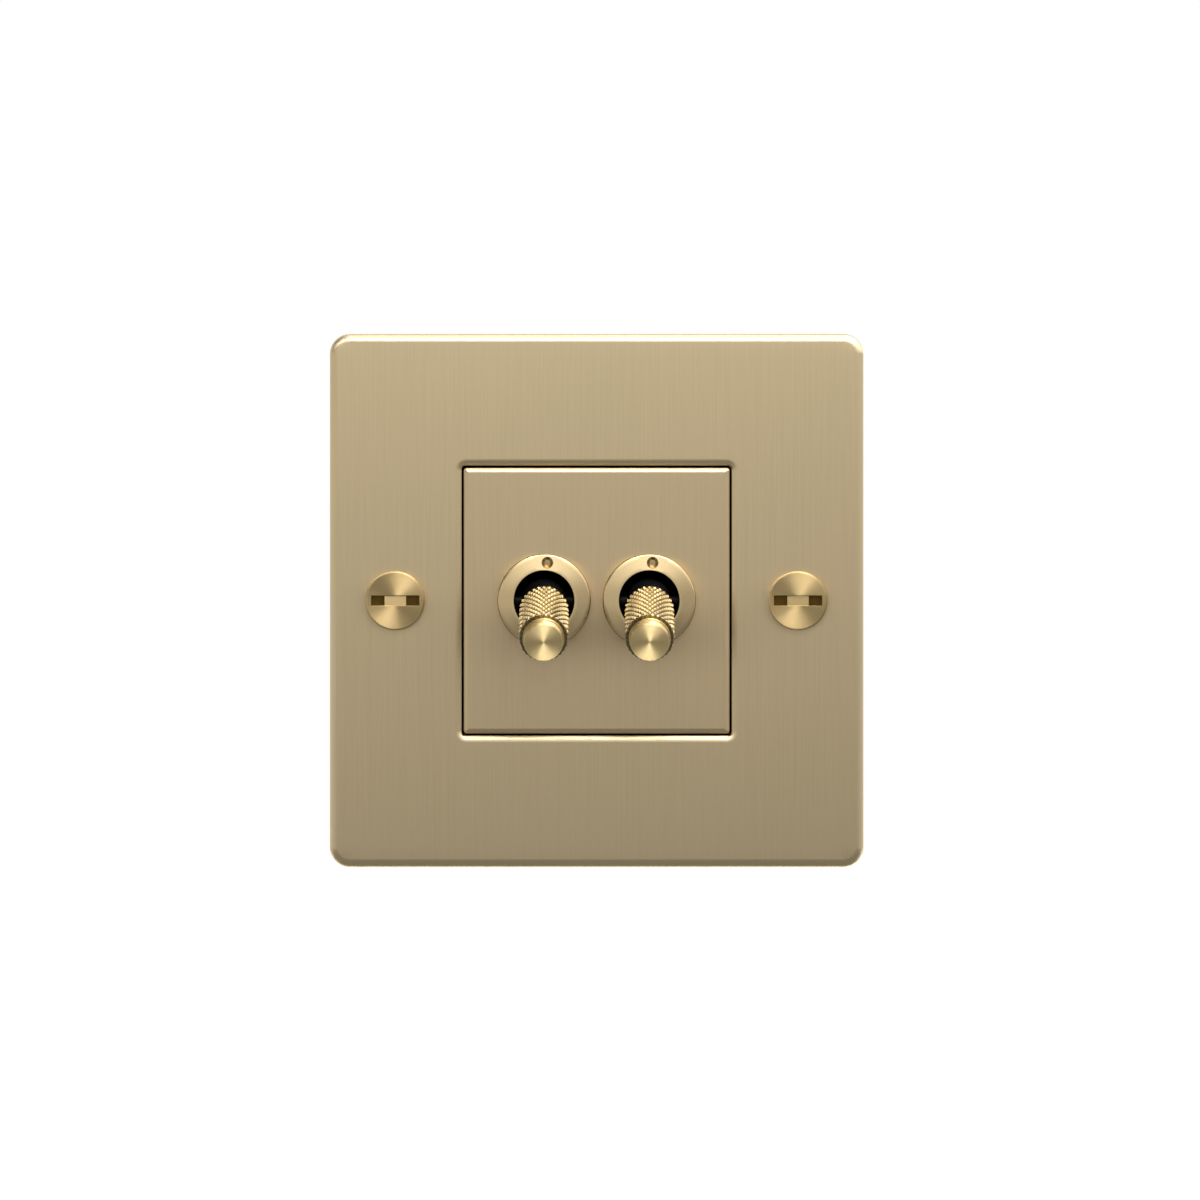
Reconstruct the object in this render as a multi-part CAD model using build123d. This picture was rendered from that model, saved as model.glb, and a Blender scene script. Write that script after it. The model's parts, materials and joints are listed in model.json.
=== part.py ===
"""Two-gang toggle light switch: a square brass plate, a flush insert and two knurled toggles.

Every piece is drawn face up on a bench: X runs to the right, Y up the wall and Z out of the wall. The wall's
surface is at Z = 0, and the middle of the two fixing screws is at X = Y = 0. Each piece is stood up as it is
written, so that Z points up and the front looks along -Y.
"""
import os
from math import cos, radians, sin

from build123d import *

# Face plate, its two fixing screws and the insert that lies flush in its opening
FIX_PITCH = 60.3
FIX_MARGIN = 9.85
PLATE_T = 4.0
PLATE_CORNER = 3.0
PLATE_EDGE = 1.3
PLATE_RIM = 3.0
POCKET_DEPTH = 1.8
POCKET_CORNER = 2.0
INSERT_SIDE = 39.8
INSERT_GAP = 0.35
INSERT_CORNER = 0.9
INSERT_EDGE = 0.8
OPENING_EDGE = 0.85

# Plate screws
HEAD_D = 8.8
HEAD_T = 1.2
HEAD_EDGE = 0.15
SLOT_L = 7.2
SLOT_W = 1.5
SLOT_DEPTH = 0.35
SLOT_POCKET_L = 2.0
SLOT_POCKET_DEPTH = 0.9
NECK_D = 3.0
SHANK_D = 3.5
SHANK_REACH = 20.0
SHANK_TIP = 0.5

# Collar and bush of each gang
COLLAR_HOLE = 9.0
COLLAR_BAND = 2.4
COLLAR_T = 1.8
COLLAR_LIP = 0.7
COLLAR_BREAK = 0.15
COLLAR_FALL = 0.43
COLLAR_GAP = 1.95
DIMPLE_D = 1.75
DIMPLE_DEPTH = 0.6
DIMPLE_TURN = 5.0
BUSH_WALL = 1.0
BUSH_LEDGE = 1.3
BUSH_FLANGE_T = 1.2
BUSH_FLARE = 0.8
BUSH_FLARE_L = 2.0
BUSH_GUIDE_T = 1.0

# Lever with its knurled grip and end cap, measured along the lever from its pivot
TILT = 18.0
PIVOT_SINK = 1.8
PIN_D = 1.4
BALL_D = 6.6
STEM_D = 4.0
STEM_END_GAP = 0.1
TAIL_D = 5.2
TAIL_L = 13.0
GRIP_START = 3.7
GRIP_L = 13.8
GRIP_D = 7.4
KNURL_DEPTH = 0.36
KNURL_STARTS = 28
KNURL_ROWS = 13
GRIP_NOSE_L = 0.35
GRIP_NOSE_TAPER = 0.3
CAP_D = 5.9
CAP_L = 2.15
CAP_EDGE = 0.12
CAP_SPIGOT = 1.5

# Plunger and spring in the lever's tail
PLUNGER_D = 3.0
PLUNGER_L = 8.9
BORE_ROOF = 1.9
SPRING_L = 5.4
SPRING_WIRE = 0.5
SPRING_TURNS = 4
NOSE_GAP = 0.1

# Contact rocker, its rivets and the fulcrum that carries it
ROCKER_TILT = 11.0
ROCKER_L = 17.0
ROCKER_T = 1.2
ROCKER_CHANNEL = 3.8
CHEEK_T = 0.8
CHEEK_H = 1.6
CHEEK_L = 11.0
FULCRUM_D = 1.8
FULCRUM_SEAT = 0.4
RIVET_INSET = 1.1
RIVET_D = 2.4
RIVET_T = 0.9
RIVET_SHANK_D = 1.2
CONTACT_GAP = 0.08

# Terminals
STRIP_T = 1.2
STRIP_W = 4.0
ARM_LIFT = 1.1
BLOCK = 6.0
BLOCK_T = 8.0
CAGE = 3.5
CAGE_FLOOR = 2.1
ROCKER_END_ROOM = 3.0
COMMON_REACH = 7.0
TERMINAL_SCREW_D = 2.8
TERMINAL_HEAD_D = 4.8
TERMINAL_HEAD_T = 1.5
TERMINAL_HEAD_GAP = 0.3
DRIVE_SLOT_W = 0.8
DRIVE_SLOT_DEPTH = 0.7
EARTH_ROOM = 2.0
EARTH_TANG = 3.0

# Mounting frame, housing and cover
FRAME_T = 1.2
FRAME_GAP = 2.0
FRAME_CORNER = 4.0
FRAME_EDGE = 1.0
FIX_HOLE_D = 4.2
FIX_PLAY = 2.0
COVER_T = 1.6
WALL = 1.6
FLOOR_T = 2.0
HOUSING_CORNER = 2.0
HOUSING_EDGE = 0.8
PARTITION = 1.6
RIB_T = 1.2
COLUMN_D = 6.0
COLUMN_INSET = 2.6
CASE_SCREW_D = 2.9
CASE_HEAD_D = 5.4
CASE_HEAD_T = 1.6
POST = 4.0

# Clearances on each side
PRESS = 0.02
RUN = 0.05
SLIDE = 0.1
LOOSE = 0.15
WINDOW = 0.2
HEAD_ROOM = 0.3

# Plate, insert and frame levels
PLATE_SIDE = FIX_PITCH + 2 * FIX_MARGIN
POCKET_SIDE = PLATE_SIDE - 2 * PLATE_RIM
OPENING = INSERT_SIDE + 2 * INSERT_GAP
OPENING_CORNER = INSERT_CORNER + INSERT_GAP
FRAME_BACK = POCKET_DEPTH - FRAME_T
COVER_BACK = FRAME_BACK - COVER_T

# Gang places and lever levels
COLLAR_D = COLLAR_HOLE + 2 * COLLAR_BAND
COLLAR_TOP = PLATE_T + COLLAR_T
GANG_PITCH = COLLAR_D + COLLAR_GAP
BUSH_R = COLLAR_HOLE / 2 + BUSH_WALL
BUSH_FLANGE_R = BUSH_R + BUSH_LEDGE
BUSH_FLANGE_BACK = COVER_BACK - BUSH_FLANGE_T
PIVOT = COLLAR_TOP - PIVOT_SINK
GRIP_END = GRIP_START + GRIP_L + GRIP_NOSE_L
BORE_END = -PIN_D / 2 - BORE_ROOF
PLUNGER_HEAD = BORE_END - SPRING_L
PLUNGER_NOSE = PLUNGER_HEAD - PLUNGER_L

# Rocker and terminal levels
HINGE = PIVOT + PLUNGER_NOSE - NOSE_GAP - ROCKER_T - FULCRUM_SEAT
RIVET_ARM = ROCKER_L / 2 - RIVET_INSET
RIVET_REAR = RIVET_T - FULCRUM_SEAT
LEAN = radians(ROCKER_TILT)
CONTACT_Y = RIVET_ARM * cos(LEAN) - RIVET_REAR * sin(LEAN)
CONTACT_FRONT = HINGE - RIVET_REAR * cos(LEAN) - (RIVET_ARM + RIVET_D / 2) * sin(LEAN) - CONTACT_GAP
ARM_FRONT = CONTACT_FRONT - RIVET_T
FLOOR = ARM_FRONT - STRIP_T - ARM_LIFT
BLOCK_Y = ROCKER_L / 2 + ROCKER_END_ROOM + BLOCK / 2
BLOCK_TOP = FLOOR + BLOCK_T
CAGE_LEVEL = FLOOR + CAGE_FLOOR + CAGE / 2
COMMON_X = COMMON_REACH + BLOCK / 2

# Housing sizes
INNER_W = GANG_PITCH + 2 * COMMON_REACH + 2 * BLOCK
INNER_H = 2 * BLOCK_Y + BLOCK
HOUSING_W = INNER_W + 2 * WALL
HOUSING_H = INNER_H + 2 * WALL
BACK = FLOOR - FLOOR_T
EARTH_Y = -HOUSING_H / 2 - EARTH_ROOM - BLOCK / 2
EARTH_BACK = FRAME_BACK - BLOCK_T
FRAME_W = POCKET_SIDE - 2 * FRAME_GAP
FRAME_H = 2 * (BLOCK / 2 + FRAME_EDGE - EARTH_Y)

GANGS = {"left": Pos(-GANG_PITCH / 2, 0, 0), "right": Pos(GANG_PITCH / 2, 0, 0)}
FIXINGS = GridLocations(FIX_PITCH, 1, 2, 1)
COLUMNS = GridLocations(INNER_W - 2 * COLUMN_INSET, INNER_H - 2 * COLUMN_INSET, 2, 2)
END_BLOCKS = GridLocations(GANG_PITCH, 2 * BLOCK_Y, 2, 2)
SIDE_BLOCKS = GridLocations(GANG_PITCH + 2 * COMMON_X, 1, 2, 1)
BLOCKS = [*END_BLOCKS, *SIDE_BLOCKS]
STANDING = (Align.CENTER, Align.CENTER, Align.MIN)


def disc(radius, bottom, top):
    """Cylinder about Z between two levels."""
    return Pos(0, 0, bottom) * Cylinder(radius, top - bottom, align=STANDING)


def block(width, height, bottom, top):
    """Box about Z between two levels."""
    return Pos(0, 0, bottom) * Box(width, height, top - bottom, align=STANDING)


def slab(width, height, corner, bottom, top):
    """Box about Z with rounded upright corners."""
    return Pos(0, 0, bottom) * extrude(RectangleRounded(width, height, corner), top - bottom)


def crossbar(radius, length, level=0):
    """Cylinder along X at one level."""
    return Pos(0, 0, level) * Rot(0, 90, 0) * Cylinder(radius, length)


def turned(*outline):
    """Solid turned about Z from the corners of its half section, each a radius and a level."""
    return revolve(make_face(Plane.XZ * Polyline(*outline, close=True)), Axis.Z)


def along_lever(piece):
    """Place a piece drawn along Z from the pivot onto a lever that points down."""
    return Pos(0, 0, PIVOT) * Rot(TILT, 0, 0) * piece


def on_fulcrum(piece):
    """Place a piece drawn about the rocker's hinge with the rocker leaning back at its upper end."""
    return Pos(0, 0, HINGE) * Rot(-ROCKER_TILT, 0, 0) * piece


def front_rounded(body, radius):
    """Round the edges of the front face."""
    return fillet(body.faces().sort_by(Axis.Z)[-1].edges(), radius)


def face_plate():
    plate = slab(PLATE_SIDE, PLATE_SIDE, PLATE_CORNER, 0, PLATE_T)
    plate = front_rounded(plate, PLATE_EDGE)
    plate -= slab(OPENING, OPENING, OPENING_CORNER, 0, PLATE_T)
    reach = OPENING / 2 + OPENING_EDGE
    mouth = plate.faces().sort_by(Axis.Z)[-1].edges()
    mouth = mouth.filter_by_position(Axis.X, -reach, reach).filter_by_position(Axis.Y, -reach, reach)
    plate = fillet(mouth, OPENING_EDGE)
    plate -= slab(POCKET_SIDE, POCKET_SIDE, POCKET_CORNER, 0, POCKET_DEPTH)
    plate -= [place * disc(SHANK_D / 2 + LOOSE, 0, PLATE_T) for place in FIXINGS]
    return plate


def insert_plate():
    plate = slab(INSERT_SIDE, INSERT_SIDE, INSERT_CORNER, POCKET_DEPTH, PLATE_T)
    plate = front_rounded(plate, INSERT_EDGE)
    plate -= [place * disc(BUSH_R + SLIDE, POCKET_DEPTH, PLATE_T) for place in GANGS.values()]
    return plate


def plate_screw():
    top = PLATE_T + HEAD_T
    head = disc(HEAD_D / 2, PLATE_T, top)
    head = chamfer(head.faces().sort_by(Axis.Z)[-1].edges(), HEAD_EDGE)
    head -= block(SLOT_L, SLOT_W, top - SLOT_DEPTH, top)
    pockets = GridLocations(SLOT_L - SLOT_POCKET_L, 1, 2, 1)
    head -= [place * block(SLOT_POCKET_L, SLOT_W, top - SLOT_POCKET_DEPTH, top) for place in pockets]
    shank = disc(SHANK_D / 2, -SHANK_REACH, 0)
    shank = chamfer(shank.faces().sort_by(Axis.Z)[0].edges(), SHANK_TIP)
    return head + disc(NECK_D / 2, 0, PLATE_T) + shank


def mounting_frame():
    frame = slab(FRAME_W, FRAME_H, FRAME_CORNER, FRAME_BACK, POCKET_DEPTH)
    frame -= [place * disc(BUSH_R + SLIDE, FRAME_BACK, POCKET_DEPTH) for place in GANGS.values()]
    fix_slot = extrude(SlotCenterToCenter(FIX_PLAY, FIX_HOLE_D, rotation=90), FRAME_T)
    frame -= [place * Pos(0, 0, FRAME_BACK) * fix_slot for place in FIXINGS]
    frame -= [place * disc(CASE_SCREW_D / 2 + PRESS, FRAME_BACK, POCKET_DEPTH) for place in COLUMNS]
    tang_slot = EARTH_TANG + 2 * PRESS
    frame -= Pos(0, EARTH_Y, 0) * block(tang_slot, tang_slot, FRAME_BACK, POCKET_DEPTH)
    return frame


def collar():
    inner = COLLAR_HOLE / 2
    outer = COLLAR_D / 2
    seat = BUSH_R + PRESS
    shoulder = COLLAR_TOP - COLLAR_LIP
    ring = turned(
        (seat, PLATE_T),
        (outer, PLATE_T),
        (outer, COLLAR_TOP - COLLAR_FALL - COLLAR_BREAK),
        (outer - COLLAR_BREAK, COLLAR_TOP - COLLAR_FALL),
        (inner + COLLAR_BREAK, COLLAR_TOP),
        (inner, COLLAR_TOP - COLLAR_BREAK),
        (inner, shoulder),
        (seat, shoulder),
    )
    dimple = Pos(0, 0, COLLAR_TOP - DIMPLE_DEPTH) * Cone(0, DIMPLE_D / 2, DIMPLE_DEPTH, align=STANDING)
    return ring - Rot(0, 0, -DIMPLE_TURN) * Pos(0, (inner + outer) / 2, 0) * dimple


def bush():
    bore = COLLAR_HOLE / 2
    front = COLLAR_TOP - COLLAR_LIP
    body = turned(
        (bore, BUSH_FLANGE_BACK + BUSH_FLARE_L),
        (bore, front),
        (BUSH_R, front),
        (BUSH_R, COVER_BACK),
        (BUSH_FLANGE_R, COVER_BACK),
        (BUSH_FLANGE_R, BUSH_FLANGE_BACK),
        (bore + BUSH_FLARE, BUSH_FLANGE_BACK),
    )
    guide = disc(BUSH_R, BUSH_FLANGE_BACK, BUSH_FLANGE_BACK + BUSH_GUIDE_T)
    slot = block(TAIL_D + 2 * LOOSE, 2 * BUSH_R, BUSH_FLANGE_BACK, BUSH_FLANGE_BACK + BUSH_GUIDE_T)
    body += guide - slot
    return body - crossbar(PIN_D / 2 + PRESS, 2 * BUSH_FLANGE_R, PIVOT)


def pivot_pin():
    return crossbar(PIN_D / 2, 2 * (BUSH_R - SLIDE), PIVOT)


def lever():
    stem_end = GRIP_END - CAP_SPIGOT - STEM_END_GAP
    body = Sphere(BALL_D / 2) + disc(STEM_D / 2, 0, stem_end) + disc(TAIL_D / 2, -TAIL_L, 0)
    body -= disc(PLUNGER_D / 2 + RUN, -TAIL_L, BORE_END)
    return body - crossbar(PIN_D / 2 + RUN, BALL_D)


def knurl():
    """Diamond knurl as a closed skin: crests and roots alternate around each row and from row to row."""
    crest = GRIP_D / 2
    root = crest - KNURL_DEPTH
    around = 2 * KNURL_STARTS
    pitch = GRIP_L / KNURL_ROWS

    def point(step, row):
        radius = root if (step + row) % 2 else crest
        angle = radians(360 * step / around)
        return (radius * cos(angle), radius * sin(angle), GRIP_START + row * pitch)

    def facet(*corners):
        return Face(Wire.make_polygon([point(*corner) for corner in corners], close=True))

    facets = [facet(*[(step, row) for step in range(around)]) for row in (0, KNURL_ROWS)]
    for row in range(KNURL_ROWS):
        for step in range(around):
            ring = [(step, row), (step + 1, row), (step + 1, row + 1), (step, row + 1)]
            turn = (step + row) % 2
            crest_a, root_a, crest_b, root_b = ring[turn:] + ring[:turn]
            facets.append(facet(crest_a, root_a, root_b))
            facets.append(facet(crest_b, root_b, root_a))
    return Solid(Shell(facets))


def grip():
    root = GRIP_D / 2 - KNURL_DEPTH
    nose_r = root - GRIP_NOSE_TAPER
    nose = Pos(0, 0, GRIP_START + GRIP_L) * Cone(root, nose_r, GRIP_NOSE_L, align=STANDING)
    return knurl() + nose - disc(STEM_D / 2 + PRESS, GRIP_START, GRIP_END)


def end_cap():
    cap = disc(CAP_D / 2, GRIP_END, GRIP_END + CAP_L)
    cap = chamfer(cap.faces().sort_by(Axis.Z)[-1].edges(), CAP_EDGE)
    return cap + disc(STEM_D / 2, GRIP_END - CAP_SPIGOT, GRIP_END)


def plunger_spring():
    coil_r = PLUNGER_D / 2 - SPRING_WIRE / 2
    rise = SPRING_L - SPRING_WIRE
    path = Helix(rise / SPRING_TURNS, rise, coil_r, center=(0, 0, PLUNGER_HEAD + SPRING_WIRE / 2))
    return sweep(Plane(origin=path @ 0, z_dir=path % 0) * Circle(SPRING_WIRE / 2), path)


def plunger():
    nose_r = PLUNGER_D / 2
    nose = Pos(0, 0, PLUNGER_NOSE + nose_r) * Sphere(nose_r)
    return disc(nose_r, PLUNGER_NOSE + nose_r, PLUNGER_HEAD) + nose


def rocker():
    width = ROCKER_CHANNEL + 2 * CHEEK_T
    front = FULCRUM_SEAT + ROCKER_T
    strip = block(width, ROCKER_L, FULCRUM_SEAT, front)
    cheeks = GridLocations(ROCKER_CHANNEL + CHEEK_T, 1, 2, 1)
    strip += [place * block(CHEEK_T, CHEEK_L, front, front + CHEEK_H) for place in cheeks]
    strip -= crossbar(FULCRUM_D / 2 + RUN, width)
    rivet_holes = GridLocations(1, 2 * RIVET_ARM, 1, 2)
    strip -= [place * disc(RIVET_SHANK_D / 2 + PRESS, FULCRUM_SEAT, front) for place in rivet_holes]
    return strip


def rocker_contacts():
    rivet = disc(RIVET_D / 2, -RIVET_REAR, FULCRUM_SEAT)
    rivet += disc(RIVET_SHANK_D / 2, FULCRUM_SEAT, FULCRUM_SEAT + ROCKER_T)
    return [place * rivet for place in GridLocations(1, 2 * RIVET_ARM, 1, 2)]


def fixed_contact():
    shank = disc(RIVET_SHANK_D / 2, ARM_FRONT - STRIP_T, ARM_FRONT)
    return disc(RIVET_D / 2, ARM_FRONT, CONTACT_FRONT) + shank


def cage_block(base):
    """Terminal block standing on a level, with a square wire passage along Y and a screw hole from below."""
    passage = base + CAGE_FLOOR
    body = block(BLOCK, BLOCK, base, base + BLOCK_T)
    body -= block(CAGE, BLOCK, passage, passage + CAGE)
    return body - disc(TERMINAL_SCREW_D / 2 + PRESS, base, passage)


def end_terminal():
    """Terminal at the upper end of a gang, with an arm that reaches in to its fixed contact."""
    arm_start = CONTACT_Y - RIVET_D
    arm_end = BLOCK_Y - BLOCK / 2
    arm = block(STRIP_W, arm_end - arm_start, ARM_FRONT - STRIP_T, ARM_FRONT)
    arm = Pos(0, (arm_start + arm_end) / 2, 0) * arm
    arm -= Pos(0, CONTACT_Y, 0) * disc(RIVET_SHANK_D / 2 + PRESS, ARM_FRONT - STRIP_T, ARM_FRONT)
    return Pos(0, BLOCK_Y, 0) * cage_block(FLOOR) + arm


def common_terminal():
    """Terminal beside the right-hand gang, with a strip along the floor that carries the fulcrum."""
    strip_end = COMMON_X - BLOCK / 2
    strip_l = strip_end + STRIP_W / 2
    strip = Pos(strip_end - strip_l / 2, 0, 0) * block(strip_l, STRIP_W, FLOOR, FLOOR + STRIP_T)
    fulcrum = block(STRIP_W, FULCRUM_D, FLOOR, HINGE) + crossbar(FULCRUM_D / 2, STRIP_W, HINGE)
    return Pos(COMMON_X, 0, 0) * Rot(0, 0, 90) * cage_block(FLOOR) + strip + fulcrum


def drive_screw(diameter, head_d, head_t, head_front, tip):
    """Slotted screw put in from behind: the head's front level and the tip's level are given."""
    head = disc(head_d / 2, head_front - head_t, head_front)
    head -= block(head_d, DRIVE_SLOT_W, head_front - head_t, head_front - head_t + DRIVE_SLOT_DEPTH)
    return head + disc(diameter / 2, head_front, tip)


def clamp_screw(base):
    """Loosened screw of a terminal block that stands on a level."""
    head_front = base - TERMINAL_HEAD_GAP
    return drive_screw(TERMINAL_SCREW_D, TERMINAL_HEAD_D, TERMINAL_HEAD_T, head_front, base + CAGE_FLOOR)


def earth_terminal():
    tang = block(EARTH_TANG, EARTH_TANG, FRAME_BACK, POCKET_DEPTH)
    return Pos(0, EARTH_Y, 0) * (cage_block(EARTH_BACK) + tang)


def switch_housing():
    tub = slab(HOUSING_W, HOUSING_H, HOUSING_CORNER, BACK, COVER_BACK)
    tub = fillet(tub.faces().sort_by(Axis.Z)[0].edges(), HOUSING_EDGE)
    tub -= block(INNER_W, INNER_H, FLOOR, COVER_BACK)
    tub += block(PARTITION, INNER_H, FLOOR, COVER_BACK)
    flange_room = disc(BUSH_FLANGE_R + LOOSE, BUSH_FLANGE_BACK - LOOSE, COVER_BACK)
    tub -= [place * flange_room for place in GANGS.values()]
    tub += [place * disc(COLUMN_D / 2, FLOOR, COVER_BACK) for place in COLUMNS]
    pocket = BLOCK + 2 * LOOSE
    rib_pair = block(pocket + 2 * RIB_T, BLOCK, FLOOR, CAGE_LEVEL) - block(pocket, BLOCK, FLOOR, CAGE_LEVEL)
    window = Pos(0, 0, CAGE_LEVEL) * Box(CAGE + 2 * WINDOW, BLOCK + 4 * WALL, CAGE + 2 * WINDOW)
    screw_hole = disc(TERMINAL_HEAD_D / 2 + HEAD_ROOM, BACK, FLOOR)
    quarter = Rot(0, 0, 90)
    tub += [place * rib_pair for place in END_BLOCKS] + [place * quarter * rib_pair for place in SIDE_BLOCKS]
    tub -= [place * window for place in END_BLOCKS] + [place * quarter * window for place in SIDE_BLOCKS]
    tub -= [place * screw_hole for place in BLOCKS]
    tub -= [place * disc(CASE_SCREW_D / 2 + LOOSE, BACK, COVER_BACK) for place in COLUMNS]
    return tub


def housing_cover():
    cover = slab(HOUSING_W, HOUSING_H, HOUSING_CORNER, COVER_BACK, FRAME_BACK)
    cover += [place * block(POST, POST, BLOCK_TOP + RUN, COVER_BACK) for place in BLOCKS]
    cover -= [place * disc(BUSH_R + SLIDE, COVER_BACK, FRAME_BACK) for place in GANGS.values()]
    cover -= [place * disc(CASE_SCREW_D / 2 + LOOSE, COVER_BACK, FRAME_BACK) for place in COLUMNS]
    return cover


def gang_pieces():
    """Pieces of one gang about its own centre, the same for both."""
    upper = end_terminal()
    return {
        "collar": collar(),
        "bush": bush(),
        "pivot_pin": pivot_pin(),
        "lever": along_lever(lever()),
        "grip": along_lever(grip()),
        "end_cap": along_lever(end_cap()),
        "plunger_spring": along_lever(plunger_spring()),
        "plunger": along_lever(plunger()),
        "rocker": on_fulcrum(rocker()),
        "rocker_contacts": Compound([on_fulcrum(rivet) for rivet in rocker_contacts()]),
        "upper_terminal": upper,
        "lower_terminal": mirror(upper, Plane.XZ),
    }


def switch_pieces():
    """Every piece by its name, where it lies on the bench."""
    case_screw = drive_screw(CASE_SCREW_D, CASE_HEAD_D, CASE_HEAD_T, BACK, POCKET_DEPTH - SLIDE)
    contact_places = GridLocations(GANG_PITCH, 2 * CONTACT_Y, 2, 2)
    pieces = {
        "face_plate": face_plate(),
        "insert_plate": insert_plate(),
        "mounting_frame": mounting_frame(),
        "plate_screws": Compound([place * plate_screw() for place in FIXINGS]),
        "switch_housing": switch_housing(),
        "housing_cover": housing_cover(),
        "housing_screws": Compound([place * case_screw for place in COLUMNS]),
        "terminal_screws": Compound([place * clamp_screw(FLOOR) for place in BLOCKS]),
        "fixed_contacts": Compound([place * fixed_contact() for place in contact_places]),
        "earth_terminal": earth_terminal(),
        "earth_screw": Pos(0, EARTH_Y, 0) * clamp_screw(EARTH_BACK),
    }
    common = common_terminal()
    commons = {"left": mirror(common, Plane.YZ), "right": common}
    shared = gang_pieces()
    for side, place in GANGS.items():
        pieces[f"{side}_common_terminal"] = place * commons[side]
        for name, piece in shared.items():
            pieces[f"{side}_{name}"] = place * piece
    return pieces


os.makedirs("parts", exist_ok=True)
for node, piece in switch_pieces().items():
    export_step(Plane.XZ.location * piece, f"parts/{node}.step")
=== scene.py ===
# %% [markdown]
# # A two-gang toggle light switch in satin brass
# A square brass plate is held to the wall by two slotted screws. A flush insert lies in its opening
# and carries two turned collars, and out of each collar comes a knurled toggle with a flat turned end.
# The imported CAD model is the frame. What the eye meets at the front is modelled again here with
# rounded edges and cut textures, and the pieces behind the plate keep their CAD shape and get real
# finishes. Sizes are written in millimetres. The wall is at Y = 0 and the front looks along -Y, so a
# level is a place along Y.

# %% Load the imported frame
import json
from math import copysign, cos, pi, radians, sin

import bmesh
import bpy
from mathutils import Matrix, Vector


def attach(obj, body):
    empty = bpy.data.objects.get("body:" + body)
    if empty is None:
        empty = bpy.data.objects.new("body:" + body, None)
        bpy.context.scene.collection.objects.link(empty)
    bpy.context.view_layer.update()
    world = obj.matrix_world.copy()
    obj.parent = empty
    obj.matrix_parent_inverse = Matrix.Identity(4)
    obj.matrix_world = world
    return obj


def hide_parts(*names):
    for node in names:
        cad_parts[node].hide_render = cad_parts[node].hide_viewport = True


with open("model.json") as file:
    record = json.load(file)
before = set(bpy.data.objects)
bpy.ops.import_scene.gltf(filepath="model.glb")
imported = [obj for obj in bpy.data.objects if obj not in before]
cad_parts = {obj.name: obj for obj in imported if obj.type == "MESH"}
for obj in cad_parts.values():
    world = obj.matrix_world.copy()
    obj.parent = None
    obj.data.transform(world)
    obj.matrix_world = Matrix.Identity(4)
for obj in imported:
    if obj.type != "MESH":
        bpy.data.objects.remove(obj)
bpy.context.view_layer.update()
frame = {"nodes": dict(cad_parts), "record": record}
nodes = frame["nodes"]
MM = 0.001
MICRON = MM / 1000

# %% [markdown]
# ## Camera
# The photograph is square and shows the plate straight from the front, almost without perspective. A
# long lens a metre and a half away gives that flat look. An orthographic camera would too, but the
# toggles still widen a little towards the eye. 179.8 mm of width fit in the frame at the plate's
# front, and the middle of the picture lies a little to the right of the plate's and above it.

# %% Camera
PLATE_FRONT = -4.0
PICTURE_X = 0.5
PICTURE_Z = 0.1
CAMERA_BACK = 1500 * MM
FRAME_WIDTH = 179.8 * MM
SENSOR = 36.0
camera_data = bpy.data.cameras.new("camera")
camera_data.sensor_fit = "HORIZONTAL"
camera_data.sensor_width = SENSOR
camera_data.lens = SENSOR * CAMERA_BACK / FRAME_WIDTH
camera_data.clip_start = 50 * MM
camera = bpy.data.objects.new("camera", camera_data)
camera.location = (PICTURE_X * MM, PLATE_FRONT * MM - CAMERA_BACK, PICTURE_Z * MM)
camera.rotation_euler = (radians(90), 0, 0)
bpy.context.scene.collection.objects.link(camera)
bpy.context.scene.camera = camera
print("camera lens", round(camera_data.lens, 1), "mm")

# %% [markdown]
# ## Stage
# Metal has no colour of its own to show: it shows the room. The room here is a white studio with a
# pale floor below. Reflector cards, which the camera can't see, give the plate its fall from light at
# the top to shade at the bottom, as a soft box over the camera does. Dark cards at the upper left set
# off the points of the knurl, and two strips near the floor light the toggles' ends alone. A node tree
# could fake all that on the brass, but then it would stay put when the object turns.


# %% Helpers for node trees
def wire(tree, source, target):
    tree.links.new(source, target)


def feed(tree, value, socket):
    """Link an output to a socket, or set the socket to a plain number, vector or colour."""
    if isinstance(value, bpy.types.NodeSocket):
        wire(tree, value, socket)
    else:
        socket.default_value = (*value, 1) if socket.type == "RGBA" else value


def node(tree, kind, **settings):
    made = tree.nodes.new(kind)
    for name, value in settings.items():
        setattr(made, name, value)
    return made


def math_node(tree, operation, first, second):
    made = node(tree, "ShaderNodeMath", operation=operation)
    feed(tree, first, made.inputs[0])
    feed(tree, second, made.inputs[1])
    return made.outputs[0]


def between(tree, factor, low, high, start=0.25, end=0.75):
    """Number from low to high as a factor goes from start to end."""
    made = node(tree, "ShaderNodeMapRange")
    made.inputs["From Min"].default_value = start
    made.inputs["From Max"].default_value = end
    made.inputs["To Min"].default_value = low
    made.inputs["To Max"].default_value = high
    wire(tree, factor, made.inputs["Value"])
    return made.outputs["Result"]


def object_place(tree):
    """Object coordinates, split into X, Y and Z."""
    place = node(tree, "ShaderNodeTexCoord")
    split = node(tree, "ShaderNodeSeparateXYZ")
    wire(tree, place.outputs["Object"], split.inputs[0])
    return split.outputs


def seen_directly(tree):
    """1 for rays from the camera, from a shiny surface or through glass."""
    path = node(tree, "ShaderNodeLightPath").outputs
    shiny = math_node(tree, "MAXIMUM", path["Is Camera Ray"], path["Is Glossy Ray"])
    return math_node(tree, "MAXIMUM", shiny, path["Is Transmission Ray"])


# %% White world
ROOM_LIGHT = 0.55
scene = bpy.context.scene
scene.view_settings.view_transform = "Standard"
world = bpy.data.worlds.new("white_studio")
world.use_nodes = True
scene.world = world
tree = world.node_tree
background = tree.nodes["Background"]
background.inputs["Color"].default_value = (1, 1, 1, 1)
strength = between(tree, seen_directly(tree), ROOM_LIGHT, 1.0, 0, 1)
wire(tree, strength, background.inputs["Strength"])
print("world is white to the camera and lights the room at", ROOM_LIGHT)


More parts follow.
